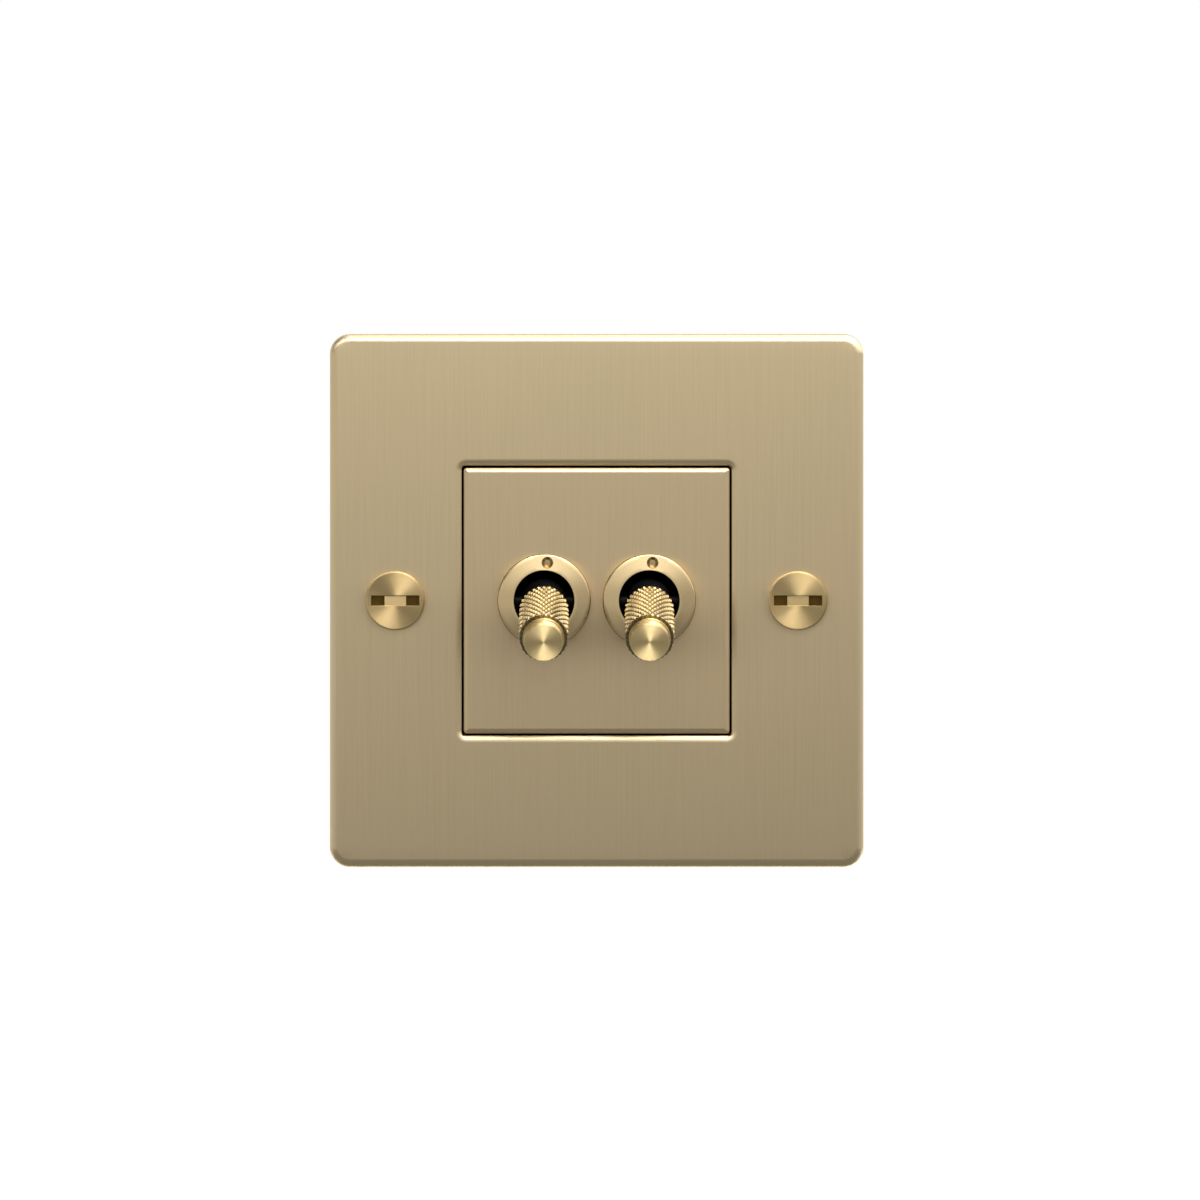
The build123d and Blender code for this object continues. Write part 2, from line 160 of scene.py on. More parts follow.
# %% Sheets of the stage
def lying(x, y, z):
    """Matrix that puts a flat shape at a place, facing up."""
    return Matrix.Translation((x * MM, y * MM, z * MM))


def upright(x, y, z):
    """The same, stood up so that it faces the viewer."""
    return lying(x, y, z) @ Matrix.Rotation(radians(90), 4, "X")


def sideways(x, y, z):
    """The same, stood up so that it faces to one side."""
    return lying(x, y, z) @ Matrix.Rotation(radians(90), 4, "Y")


def stage_sheet(name, width, height, place, material):
    bm = bmesh.new()
    bmesh.ops.create_grid(bm, x_segments=1, y_segments=1, size=0.5)
    bmesh.ops.scale(bm, vec=(width * MM, height * MM, 1), verts=bm.verts)
    bmesh.ops.transform(bm, matrix=place, verts=bm.verts)
    mesh = bpy.data.meshes.new(name)
    bm.to_mesh(mesh)
    bm.free()
    mesh.materials.append(material)
    sheet = bpy.data.objects.new(name, mesh)
    scene.collection.objects.link(sheet)
    return sheet


def empty_material(name):
    made = bpy.data.materials.new(name)
    made.use_nodes = True
    made.node_tree.nodes.clear()
    return made, made.node_tree


def add_shaders(tree, first, second):
    both = node(tree, "ShaderNodeAddShader")
    wire(tree, first.outputs[0], both.inputs[0])
    wire(tree, second.outputs[0], both.inputs[1])
    return both.outputs[0]


def show(tree, shader):
    end = node(tree, "ShaderNodeOutputMaterial")
    wire(tree, shader, end.inputs["Surface"])


# %% Floor
FLOOR_Z = -115
FLOOR_SIDE = 6000
floor_paint, tree = empty_material("floor_paint")
matt = node(tree, "ShaderNodeBsdfDiffuse")
matt.inputs["Color"].default_value = (0.55, 0.55, 0.55, 1)
glow = node(tree, "ShaderNodeEmission")
glow.inputs["Strength"].default_value = 0.74
plain = node(tree, "ShaderNodeBsdfDiffuse")
plain.inputs["Color"].default_value = (0.8, 0.8, 0.8, 1)
choose = node(tree, "ShaderNodeMixShader")
wire(tree, seen_directly(tree), choose.inputs[0])
wire(tree, plain.outputs[0], choose.inputs[1])
wire(tree, add_shaders(tree, matt, glow), choose.inputs[2])
show(tree, choose.outputs[0])
stage_sheet("floor", FLOOR_SIDE, FLOOR_SIDE, lying(0, 0, FLOOR_Z), floor_paint)
print("floor at", FLOOR_Z, "mm")

# %% Light of a reflector card
GLOW_RANGE = 8.0


def card_light(name, stops, see_through):
    """Glow that changes with height, from stops of height and light. A ramp holds shares of a range."""
    card, tree = empty_material(name)
    low, high = stops[0][0], stops[-1][0]
    ramp = node(tree, "ShaderNodeValToRGB")
    steps = ramp.color_ramp.elements
    while len(steps) < len(stops):
        steps.new(0.5)
    for step, (height, light) in zip(steps, stops):
        share = light / GLOW_RANGE
        step.position = (height - low) / (high - low)
        step.color = (share, share, share, 1)
    rise = between(tree, object_place(tree)["Z"], 0, 1, low * MM, high * MM)
    wire(tree, rise, ramp.inputs["Fac"])
    glow = node(tree, "ShaderNodeEmission")
    glow.inputs["Strength"].default_value = GLOW_RANGE
    wire(tree, ramp.outputs["Color"], glow.inputs["Color"])
    clear = node(tree, "ShaderNodeBsdfTransparent")
    clear.inputs["Color"].default_value = (see_through, see_through, see_through, 1)
    show(tree, add_shaders(tree, glow, clear))
    return card


def even(light):
    """Stops of a card that glows alike all over."""
    return (-200, light), (200, light)


def reflector(name, width, height, place, *stops, see_through=0):
    light = card_light(f"{name}_light", stops, see_through)
    sheet = stage_sheet(name, width, height, place, light)
    sheet.visible_camera = False
    sheet.visible_diffuse = False
    sheet.visible_shadow = False
    sheet.visible_transmission = False
    return sheet


# %% Reflector cards
LOW = FLOOR_Z + 5
STRIP_LIGHT = 5.0
reflector(
    "front_card", 520, 360, upright(0, -250, 20),
    (-160, 0.08), (-70, 0.28), (-20, 0.56), (-8, 0.63), (10, 0.56), (30, 0.54),
    (44, 0.80), (80, 1.0), (105, 1.08), (125, 1.95), (200, 2.2),
)
reflector("low_card", 1600, 1200, lying(0, -550, LOW), *even(0.28))
tip_strips = [
    reflector("near_strip", 50, 45, lying(0, -92, LOW + 2), *even(STRIP_LIGHT), see_through=1),
    reflector("far_strip", 50, 230, lying(0, -365, LOW + 2), *even(STRIP_LIGHT), see_through=1),
]
reflector(
    "right_shade", 180, 170, upright(160, -249, -15),
    (-100, 0.1), (-20, 0.42), (20, 0.42), (70, 0.62),
)
reflector("left_wing", 145, 130, upright(-187, -248, 135), *even(0.1))
reflector("right_wing", 145, 130, upright(187, -248, 135), *even(1.2))
reflector("shade_card", 500, 500, upright(-360, -250, 450), *even(0.08))
reflector("overhead_flag", 1000, 1400, lying(-505, -250, 700), *even(0.05))
reflector(
    "left_card", 1000, 1000, sideways(-600, -200, 200),
    (-300, 0.7), (110, 0.8), (140, 0.08), (700, 0.08),
)
reflector(
    "right_card", 1000, 1000, sideways(600, -200, 200),
    (-300, 0.55), (110, 0.65), (140, 1.7), (700, 1.7),
)
print("reflector cards in front, below, overhead and at the sides")


# %% Lamps
def soft_box(name, place, target, width, height, watts):
    lamp = bpy.data.lights.new(name, "AREA")
    lamp.shape = "RECTANGLE"
    lamp.size = width * MM
    lamp.size_y = height * MM
    lamp.energy = watts
    box = bpy.data.objects.new(name, lamp)
    box.location = Vector(place) * MM
    aim = Vector(target) - Vector(place)
    box.rotation_euler = aim.to_track_quat("-Z", "Y").to_euler()
    scene.collection.objects.link(box)


soft_box("key_soft_box", (30, -580, 520), (0, 0, 0), 600, 250, 6.0)
soft_box("top_soft_box", (620, -150, 950), (620, -150, 0), 1200, 1300, 18.0)
print("two soft boxes over the front")

# %% [markdown]
# ## Brushed brass
# The plate and its insert are satin brass: a belt has drawn fine scratches straight up and down. Such
# scratches spread a reflection sideways only, so the shader is anisotropic with its tangent across
# the grain. Long thin noise along Z moves the colour and roughness a little and raises the finest
# lines. A picture of scratches could do that too, but noise is sharp at any distance.


# %% Shared parts of the finishes
def surface(name):
    made = bpy.data.materials.new(name)
    made.use_nodes = True
    return made, made.node_tree, made.node_tree.nodes["Principled BSDF"]


def metal(name, anisotropy):
    made, tree, shader = surface(name)
    shader.inputs["Metallic"].default_value = 1.0
    shader.inputs["Anisotropic"].default_value = anisotropy
    return made, tree, shader


def object_noise(tree, scale, detail):
    """Noise on Object coordinates, with its own scale along each axis."""
    place = node(tree, "ShaderNodeTexCoord")
    stretch = node(tree, "ShaderNodeMapping")
    stretch.inputs["Scale"].default_value = scale
    wire(tree, place.outputs["Object"], stretch.inputs["Vector"])
    noise = node(tree, "ShaderNodeTexNoise")
    noise.inputs["Scale"].default_value = 1.0
    noise.inputs["Detail"].default_value = detail
    noise.inputs["Roughness"].default_value = 0.55
    wire(tree, stretch.outputs["Vector"], noise.inputs["Vector"])
    return noise.outputs[0]


def tint(tree, factor, first, second):
    """Colour mixed from a first to a second one."""
    made = node(tree, "ShaderNodeMix", data_type="RGBA")
    colours = [socket for socket in made.inputs if socket.type == "RGBA"]
    for socket, value in zip(colours, (first, second)):
        feed(tree, value, socket)
    wire(tree, factor, made.inputs[0])
    return [socket for socket in made.outputs if socket.type == "RGBA"][0]


def finish(tree, shader, colour, roughness, height, depth):
    """Set colour and roughness, and raise a height between 0 and 1 as far as depth in metres."""
    wire(tree, colour, shader.inputs["Base Color"])
    wire(tree, roughness, shader.inputs["Roughness"])
    bump = node(tree, "ShaderNodeBump")
    bump.inputs["Strength"].default_value = 1.0
    bump.inputs["Distance"].default_value = depth
    wire(tree, height, bump.inputs["Height"])
    wire(tree, bump.outputs["Normal"], shader.inputs["Normal"])


def spread_along(tree, shader, way):
    """Give the shader its tangent, a direction of the piece that turns with it in the scene."""
    turn = node(tree, "ShaderNodeVectorTransform", vector_type="VECTOR")
    turn.convert_from = "OBJECT"
    turn.convert_to = "WORLD"
    feed(tree, way, turn.inputs[0])
    wire(tree, turn.outputs[0], shader.inputs["Tangent"])


# %% Brushed brass finish
# Painted shade in the gap between plate and insert: how far out and how deep it lies, and its dark
# tone.
SEAM_REACH = (21.5 * MM, 22.0 * MM)
SEAM_DEPTH = (-3.2 * MM, -2.7 * MM)
SEAM_SHADE_TONE = (0.10, 0.07, 0.03)
BELT_GRAIN = (5200, 5200, 55)


def seam_shade(tree):
    """1 deep in the gap between plate and insert and 0 on the front: the share of painted shade there.
    """
    place = object_place(tree)
    across = math_node(tree, "ABSOLUTE", place["X"], 0.0)
    upward = math_node(tree, "ABSOLUTE", place["Z"], 0.0)
    inside = between(tree, math_node(tree, "MAXIMUM", across, upward), 1, 0, *SEAM_REACH)
    deep = between(tree, place["Y"], 0, 1, *SEAM_DEPTH)
    return math_node(tree, "MULTIPLY", inside, deep)


def brushed_brass(name, dark, light, warm):
    made, tree, shader = metal(name, 0.8)
    streak = object_noise(tree, BELT_GRAIN, 4.0)
    cloud = object_noise(tree, (45, 45, 45), 2.0)
    grain = tint(tree, between(tree, streak, 0, 1), dark, light)
    clean = tint(tree, between(tree, cloud, 0, 0.5), grain, warm)
    # Painted shade: deep in the gap the brass turns to a dark tone.
    colour = tint(tree, seam_shade(tree), clean, SEAM_SHADE_TONE)
    finish(tree, shader, colour, between(tree, streak, 0.44, 0.38), streak, 1.2 * MICRON)
    spread_along(tree, shader, (1, 0, 0))
    return made


plate_brass = brushed_brass(
    "plate_brass", (0.665, 0.538, 0.322), (0.73, 0.592, 0.36), (0.735, 0.57, 0.352)
)
insert_brass = brushed_brass(
    "insert_brass", (0.655, 0.515, 0.307), (0.72, 0.573, 0.345), (0.725, 0.555, 0.338)
)
print("brushed finishes", plate_brass.name, insert_brass.name)

# %% [markdown]
# ## Turned brass
# Screw heads, collars and toggle ends come off a lathe, and the tool leaves rings round their own
# centre. The rings spread a reflection along the radius, which makes the two bright wedges of a
# turned face. The radius has to come from the piece, so each turned piece carries it as an attribute,
# the offset from its own axis. A radial tangent from Generated coordinates would be off centre on two
# screws in one mesh. On a turned wall the radius is also the normal, so the tangent leans a little
# along the axis.

# %% Turned brass finish
RINGS = 9000
RING_SHINE = 0.03
# Dark tone of the painted shade in the slots' deep ends and in the dimples.
POCKET_SHADE_TONE = (0.17, 0.10, 0.02)
AXIS_LEAN = 0.2


def turned_brass(name, axis, dark, light, roughness, anisotropy, depth=0.4 * MICRON):
    made, tree, shader = metal(name, anisotropy)
    offset = node(tree, "ShaderNodeAttribute", attribute_name="turning").outputs["Vector"]
    length = node(tree, "ShaderNodeVectorMath", operation="LENGTH")
    wire(tree, offset, length.inputs[0])
    rings = node(tree, "ShaderNodeTexNoise", noise_dimensions="1D")
    rings.inputs["Scale"].default_value = RINGS
    rings.inputs["Detail"].default_value = 3.0
    wire(tree, length.outputs["Value"], rings.inputs["W"])
    ring = rings.outputs[0]
    cloud = object_noise(tree, (700, 700, 700), 2.0)
    ring_tone = tint(tree, between(tree, ring, 0, 1), dark, light)
    clean = tint(tree, between(tree, cloud, 0, 0.35), ring_tone, light)
    # Painted shade: a face corner's share turns the colour towards a dark tone.
    pocket = node(tree, "ShaderNodeAttribute", attribute_name="pocket").outputs["Fac"]
    colour = tint(tree, pocket, clean, POCKET_SHADE_TONE)
    shine = between(tree, ring, roughness + RING_SHINE, roughness - RING_SHINE)
    finish(tree, shader, colour, shine, ring, depth)
    unit = node(tree, "ShaderNodeVectorMath", operation="NORMALIZE")
    wire(tree, offset, unit.inputs[0])
    lean = node(tree, "ShaderNodeVectorMath", operation="ADD")
    lean.inputs[1].default_value = Vector(axis) * AXIS_LEAN
    wire(tree, unit.outputs[0], lean.inputs[0])
    spread_along(tree, shader, lean.outputs[0])
    return made


OUTWARD = (0, -1, 0)
LEVER_TILT = radians(18)
LEVER_TURN = Matrix.Rotation(radians(90) + LEVER_TILT, 4, "X")
LEVER_AXIS = LEVER_TURN.to_3x3() @ Vector((0, 0, 1))
screw_brass = turned_brass(
    "screw_brass", OUTWARD, (0.50, 0.365, 0.17), (0.57, 0.42, 0.205), 0.48, 0.9
)
collar_brass = turned_brass(
    "collar_brass", OUTWARD, (0.72, 0.545, 0.29), (0.77, 0.585, 0.32), 0.2, 0.2, 0.1 * MICRON
)
tip_brass = turned_brass(
    "tip_brass", LEVER_AXIS, (0.72, 0.54, 0.25), (0.81, 0.63, 0.32), 0.42, 0.95
)
print("turned finishes", screw_brass.name, collar_brass.name, tip_brass.name)

# %% [markdown]
# ## Plates cut from outlines
# A plate with openings is a flat sheet first. Its outlines are laid down as loops of edges, the sheet
# is filled between them and pulled to its thickness, and its front edges are rolled over. The edge of
# an opening is then squared off, because the real one rolls down only part of the way. A cube with
# cut-outs would need Booleans, which leave crossing edges where the light shows them.

# %% Outlines and fills
CLOSE = 0.01 * MM
CORNER_STEPS = 10


def loop_of(verts):
    """Edges round a loop, in a fixed order."""
    return list(dict.fromkeys(edge for vert in verts for edge in vert.link_edges))


def rounded_square(bm, half, corner, level):
    square = bmesh.ops.create_grid(
        bm, x_segments=1, y_segments=1, size=half * MM, matrix=upright(0, level, 0)
    )["verts"]
    rounded = bmesh.ops.bevel(
        bm, geom=square, offset=corner * MM, offset_type="OFFSET", segments=CORNER_STEPS,
        profile=0.5, affect="VERTICES", material=-1,
    )["verts"]
    edges = loop_of(rounded)
    bmesh.ops.delete(bm, geom=[rounded[0].link_faces[0]], context="FACES_ONLY")
    return edges


def circle(bm, radius, x, level, z=0, segments=96):
    made = bmesh.ops.create_circle(
        bm, cap_ends=False, radius=radius * MM, segments=segments, matrix=upright(x, level, z)
    )
    return loop_of(made["verts"])


def fill(bm, *loops, normal=OUTWARD):
    edges = [edge for loop in loops for edge in loop]
    made = bmesh.ops.triangle_fill(
        bm, use_beauty=True, use_dissolve=False, edges=edges, normal=normal
    )
    return [part for part in made["geom"] if isinstance(part, bmesh.types.BMFace)]


# %% Pulled faces and loops
def pull(bm, faces, distance, keep=False):
    """Extrude flat faces along Y and return the moved ones. A bare sheet keeps the old as its back."""
    made = bmesh.ops.extrude_face_region(bm, geom=faces)["geom"]
    moved = [part for part in made if isinstance(part, bmesh.types.BMVert)]
    bmesh.ops.translate(bm, vec=(0, distance * MM, 0), verts=moved)
    if not keep:
        bmesh.ops.delete(bm, geom=faces, context="FACES")
    return [part for part in made if isinstance(part, bmesh.types.BMFace)]


def pull_loop(bm, edges, distance):
    """Extrude a loop of edges along Y and return the new loop."""
    made = bmesh.ops.extrude_edge_only(bm, edges=edges)["geom"]
    moved = [part for part in made if isinstance(part, bmesh.types.BMVert)]
    bmesh.ops.translate(bm, vec=(0, distance * MM, 0), verts=moved)
    return [part for part in made if isinstance(part, bmesh.types.BMEdge)]


def scale_loop(bm, edges, factor, x, z=0):
    """Widen or narrow a loop about a centre on its own level."""
    verts = list(dict.fromkeys(vert for edge in edges for vert in edge.verts))
    bmesh.ops.scale(bm, vec=(factor, 1, factor), space=lying(-x, 0, -z), verts=verts)
    return edges


# %% Rolled edges
def round_off(bm, edges, radius, segments):
    bmesh.ops.bevel(
        bm, geom=edges, offset=radius * MM, offset_type="OFFSET", segments=segments,
        profile=0.5, affect="EDGES", clamp_overlap=False, material=-1,
    )


def roll_edge(bm, level, half, radius, segments):
    """Round the rim of a square, given by half its side, in the flat at a level."""
    rim = []
    for edge in bm.edges:
        at_level = all(abs(vert.co.y - level * MM) < CLOSE for vert in edge.verts)
        reach = max(max(abs(vert.co.x), abs(vert.co.z)) for vert in edge.verts)
        wall = any(abs(face.normal.y) < 0.5 for face in edge.link_faces)
        if at_level and wall and abs(reach - half * MM) < MM:
            rim.append(edge)
    round_off(bm, rim, radius, segments)


def square_off(bm, half):
    """Push the walls of a square opening out to a plane, which cuts the steep end off its roll."""
    for vert in bm.verts:
        across = max(abs(vert.co.x), abs(vert.co.z))
        if 0.8 * half * MM < across < half * MM:
            if abs(vert.co.x) > abs(vert.co.z):
                vert.co.x = copysign(half * MM, vert.co.x)
            else:
                vert.co.z = copysign(half * MM, vert.co.z)


# %% From mesh to piece
def make_piece(bm, name, material, body, stands_for, crease=28):
    """Piece that rides on a body and stands for a CAD node. Edges above the crease stay sharp."""
    bmesh.ops.recalc_face_normals(bm, faces=bm.faces)
    mesh = bpy.data.meshes.new(name)
    bm.to_mesh(mesh)
    bm.free()
    mesh.shade_smooth()
    mesh.set_sharp_from_angle(angle=radians(crease))
    mesh.materials.append(material)
    piece = bpy.data.objects.new(name, mesh)
    scene.collection.objects.link(piece)
    even_normals = piece.modifiers.new("even_normals", "WEIGHTED_NORMAL")
    even_normals.keep_sharp = True
    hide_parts(stands_for)
    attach(piece, body)
    print(name, len(mesh.polygons), "faces")
    return piece


# %% [markdown]
# ## Face plate
# The plate is 80 mm square and 4 mm thick, with a 3 mm rim at the back round a pocket for the frame.
# The rim and the web are filled as two regions that share the pocket's outline, so both come from one
# sheet. It is laid at the level of the web's back, and then all of it is pulled to the front and the
# rim alone back to the wall.

# %% Face plate
SWITCH = "switch_body"
WEB_BACK = -1.8
PLATE_HALF, PLATE_CORNER, PLATE_ROLL = 40.0, 3.0, 1.3
POCKET_HALF, POCKET_CORNER = 37.0, 2.0
OPENING_HALF, OPENING_CORNER, OPENING_ROLL = 20.25, 0.2, 1.63
OPENING_TRIM = 0.58
SCREWS = (-30.15, 30.15)
SCREW_HOLE = 1.9
bm = bmesh.new()
plate_outline = rounded_square(bm, PLATE_HALF, PLATE_CORNER, WEB_BACK)
pocket_outline = rounded_square(bm, POCKET_HALF, POCKET_CORNER, WEB_BACK)
opening_outline = rounded_square(bm, OPENING_HALF - OPENING_TRIM, OPENING_CORNER, WEB_BACK)
screw_holes = [circle(bm, SCREW_HOLE, x, WEB_BACK, segments=32) for x in SCREWS]
rim_faces = fill(bm, plate_outline, pocket_outline)
web_faces = fill(bm, pocket_outline, opening_outline, *screw_holes)
pull(bm, rim_faces + web_faces, PLATE_FRONT - WEB_BACK, keep=True)
pull(bm, rim_faces, -WEB_BACK)
bmesh.ops.recalc_face_normals(bm, faces=bm.faces)
roll_edge(bm, PLATE_FRONT, PLATE_HALF, PLATE_ROLL, 10)
roll_edge(bm, PLATE_FRONT, OPENING_HALF - OPENING_TRIM, OPENING_ROLL, 16)
square_off(bm, OPENING_HALF)
make_piece(bm, "brass_face_plate", plate_brass, SWITCH, "face_plate")

# %% [markdown]
# ## Insert
# The insert lies in the opening with a shadow gap of about a third of a millimetre all round. Its edge
# rolls down to a slope of fifty degrees and then stops at an upright wall. A bevel would roll on until
# it is upright, so outlines are stepped up the roll instead and bridged, each to the next. Two stepped
# holes, narrow for the bushes and wide for the collars, are pulled up before back and front are filled.

# %% Insert plate
GANGS = {"left": -7.875, "right": 7.875}
INSERT_HALF = 19.9
INSERT_CORNER = 0.45
SHARPEST_CORNER = 0.04
INSERT_ROLL = 1.04
STEEPEST = radians(50)
ROLL_STEPS = 10
BUSH_HOLE = 5.6
COLLAR_HOLE = 6.97
LEDGE = -2.8
bm = bmesh.new()
loops = [rounded_square(bm, INSERT_HALF, INSERT_CORNER, WEB_BACK)]
for step in range(ROLL_STEPS + 1):
    slope = STEEPEST * (1 - step / ROLL_STEPS)
    inset = INSERT_ROLL * (sin(STEEPEST) - sin(slope))
    corner = max(INSERT_CORNER - inset, SHARPEST_CORNER)
    level = PLATE_FRONT + INSERT_ROLL * (1 - cos(slope))
    loops.append(rounded_square(bm, INSERT_HALF - inset, corner, level))
for lower, upper in zip(loops, loops[1:]):
    bmesh.ops.bridge_loops(bm, edges=lower + upper)
for x in GANGS.values():
    neck = pull_loop(bm, circle(bm, BUSH_HOLE, x, WEB_BACK), LEDGE - WEB_BACK)
    ledge = scale_loop(bm, pull_loop(bm, neck, 0), COLLAR_HOLE / BUSH_HOLE, x)
    pull_loop(bm, ledge, PLATE_FRONT - LEDGE)
open_edges = [edge for edge in bm.edges if edge.is_boundary]
for level in (WEB_BACK, PLATE_FRONT):
    fill(bm, [edge for edge in open_edges if abs(edge.verts[0].co.y - level * MM) < CLOSE])
make_piece(bm, "brass_insert_plate", insert_brass, SWITCH, "insert_plate")


# %% [markdown]
# ## Turned pieces
# Before a turned piece becomes an object, every corner of its faces gets its offset from the axis it
# was turned on, and faces in the slots' deep ends and the dimples get a share of painted shade. A face
# corner can hold its own value, which a vertex can't, so the dimple's cone and the flat round it don't
# mix.

# %% Marks on turned pieces
def mark_turning(bm, faces, centre, axis, spiral=0):
    """Offset from the turning axis, laid over by an angle where the tool's marks run as a spiral."""
    layers = bm.loops.layers.float_vector
    layer = layers.get("turning") or layers.new("turning")
    along = Vector(axis).normalized()
    lay = Matrix.Rotation(radians(spiral), 3, along)
    for face in faces:
        for corner in face.loops:
            reach = corner.vert.co - Vector(centre)
            corner[layer] = lay @ (reach - along * reach.dot(along))


def mark_pocket(bm, faces, shade):
    """Share of painted shade, which the function shade gives for a place."""
    layers = bm.loops.layers.float
    layer = layers.get("pocket") or layers.new("pocket")
    for face in faces:
        for corner in face.loops:
            corner[layer] = shade(corner.vert.co)


def break_rims(bm, level, x, inner, outer, width, segments):
    """Take the sharpness off the rims of a turned face between two radii."""
    bmesh.ops.recalc_face_normals(bm, faces=bm.faces)
    rims = []
    for edge in bm.edges:
        middle = (edge.verts[0].co + edge.verts[1].co) / 2
        radius = Vector((middle.x - x * MM, middle.z)).length
        if abs(middle.y - level * MM) < CLOSE and inner * MM < radius < outer * MM:
            if edge.calc_face_angle(0) > radians(60):
                rims.append(edge)
    round_off(bm, rims, width, segments)


# %% [markdown]
# ## Fixing screws
# Each head is a flat disc with a slot that stops short of the rim, and the slot is milled deeper at
# both ends, where a forked driver sits. Three squares in the middle of the disc are sunk for that, the
# outer two further. The shank behind gets a real thread: a small tooth spun round the axis while it
# moves along. A Screw modifier winds a thread too, but it would wind the head as well.

# %% Screw heads
HEAD_FRONT = -5.2
HEAD_RADIUS = 4.4
HEAD_RIM = 0.4
HEAD_BREAK = 0.24
FLAT_BORDER = 0.04
SLOT_LENGTH = 7.2
SLOT_WIDTH = 1.5
SLOT_MIDDLE = 1.6
SLOT_DEPTH = 0.14
SLOT_BREAK = 0.05
WELL_DEPTH = 0.76
SHANK_RADIUS = 1.45
SHANK_LENGTH = 23.6
SHANK_POINT = 0.4
POINT_TAPER = 0.7


def slot_squares(bm, x):
    """Three squares in a row, whose middle one is the slot's shallow part."""
    verts = bmesh.ops.create_grid(
        bm, x_segments=3, y_segments=1, size=0.5 * MM, matrix=upright(x, HEAD_FRONT, 0)
    )["verts"]
    bmesh.ops.scale(bm, vec=(SLOT_LENGTH, 1, SLOT_WIDTH), space=lying(-x, 0, 0), verts=verts)
    for vert in verts:
        reach = vert.co.x - x * MM
        if abs(reach) < SLOT_LENGTH / 3 * MM:
            vert.co.x = x * MM + copysign(SLOT_MIDDLE * MM, reach)
    return verts


def screw_head(bm, x):
    slot = slot_squares(bm, x)
    slot_faces = list(dict.fromkeys(face for vert in slot for face in vert.link_faces))
    slot_rim = [edge for edge in loop_of(slot) if edge.is_boundary]
    head_rim = circle(bm, HEAD_RADIUS, x, HEAD_FRONT)
    fill(bm, head_rim, slot_rim)
    under = pull_loop(bm, head_rim, PLATE_FRONT - HEAD_FRONT)
    neck = scale_loop(bm, pull_loop(bm, under, 0), SHANK_RADIUS / HEAD_RADIUS, x)
    tip = pull_loop(bm, neck, SHANK_LENGTH)
    end = scale_loop(bm, pull_loop(bm, tip, SHANK_POINT), POINT_TAPER, x)
    bmesh.ops.contextual_create(bm, geom=end)
    shallow = pull(bm, slot_faces, SLOT_DEPTH)
    wells = [f for f in shallow if abs(f.calc_center_median().x - x * MM) > SLOT_MIDDLE * MM]
    pull(bm, wells, WELL_DEPTH)
    rim_from = HEAD_RADIUS - HEAD_RIM
    break_rims(bm, HEAD_FRONT, x, rim_from, HEAD_RADIUS + HEAD_RIM, HEAD_BREAK, 4)
    break_rims(bm, HEAD_FRONT, x, 0, rim_from, SLOT_BREAK, 2)
    top = []
    for face in bm.faces:
        offset = face.calc_center_median() - Vector((x * MM, HEAD_FRONT * MM, 0))
        if abs(offset.y) < MICRON and abs(offset.x) < HEAD_RADIUS * MM:
            top.append(face)
    bmesh.ops.inset_region(bm, faces=top, thickness=FLAT_BORDER * MM, use_even_offset=True)


# %% Screw threads
THREAD_PITCH = 0.6
THREAD_STEPS = 24
THREAD_ROOT = 1.4
THREAD_CREST = 1.75
THREAD_START = 1.0
THREAD_LENGTH = 18.0


def screw_thread(bm, x):
    """Tooth of a thread, wound round the shank."""
    section = (
        (THREAD_ROOT, THREAD_START),
        (THREAD_CREST, THREAD_START + THREAD_PITCH / 2),
        (THREAD_ROOT, THREAD_START + THREAD_PITCH),
    )
    corners = [bm.verts.new(((x + radius) * MM, level * MM, 0)) for radius, level in section]
    tooth = bm.faces.new(corners)
    turns = int(THREAD_LENGTH / THREAD_PITCH)
    bmesh.ops.spin(
        bm, geom=[*corners, *tooth.edges, tooth], cent=(x * MM, 0, 0), axis=(0, 1, 0),
        dvec=(0, THREAD_PITCH * MM / THREAD_STEPS, 0), angle=2 * pi * turns,
        steps=THREAD_STEPS * turns, use_merge=False, use_duplicate=False,
    )


# %% Both fixing screws
TOOL_SPIRAL = 11
MILLING_LAY = (0.64 * MM, 0, 0.77 * MM)


def in_well(middle, x):
    """Whether a face with this middle belongs to a deep end of the slot."""
    deep = (HEAD_FRONT + 0.2) * MM < middle.y < (PLATE_FRONT - 0.1) * MM
    across = abs(middle.z) < (SLOT_WIDTH / 2 + 0.05) * MM
    along = abs(middle.x - x * MM) < (SLOT_LENGTH / 2 + 0.1) * MM
    return deep and across and along


bm = bmesh.new()
for x in SCREWS:
    known = set(bm.faces)
    screw_head(bm, x)
    screw_thread(bm, x)
    made = [face for face in bm.faces if face not in known]
    mark_turning(bm, made, (x * MM, 0, 0), OUTWARD, spiral=TOOL_SPIRAL)
    wells = [face for face in made if in_well(face.calc_center_median(), x)]
    # The slots' deep ends get the full painted shade.
    mark_pocket(bm, wells, lambda place: 1.0)
    turning = bm.loops.layers.float_vector["turning"]
    for face in made:
        if abs(face.calc_center_median().y - (HEAD_FRONT + SLOT_DEPTH) * MM) < CLOSE:
            for corner in face.loops:
                corner[turning] = MILLING_LAY
make_piece(bm, "slotted_fixing_screws", screw_brass, SWITCH, "plate_screws")

# %% [markdown]
# ## Collars
# A collar is a ring round each toggle whose face slopes back a little, with a drilled dimple near the
# top that marks its place. The face is filled between three circles and the walls are pulled back from
# its rims. The dimple's circle is pulled in and narrowed to half its width, a cone with a small flat
# such as a centre drill leaves. Spinning a half section would be quicker, but it has no dimple.

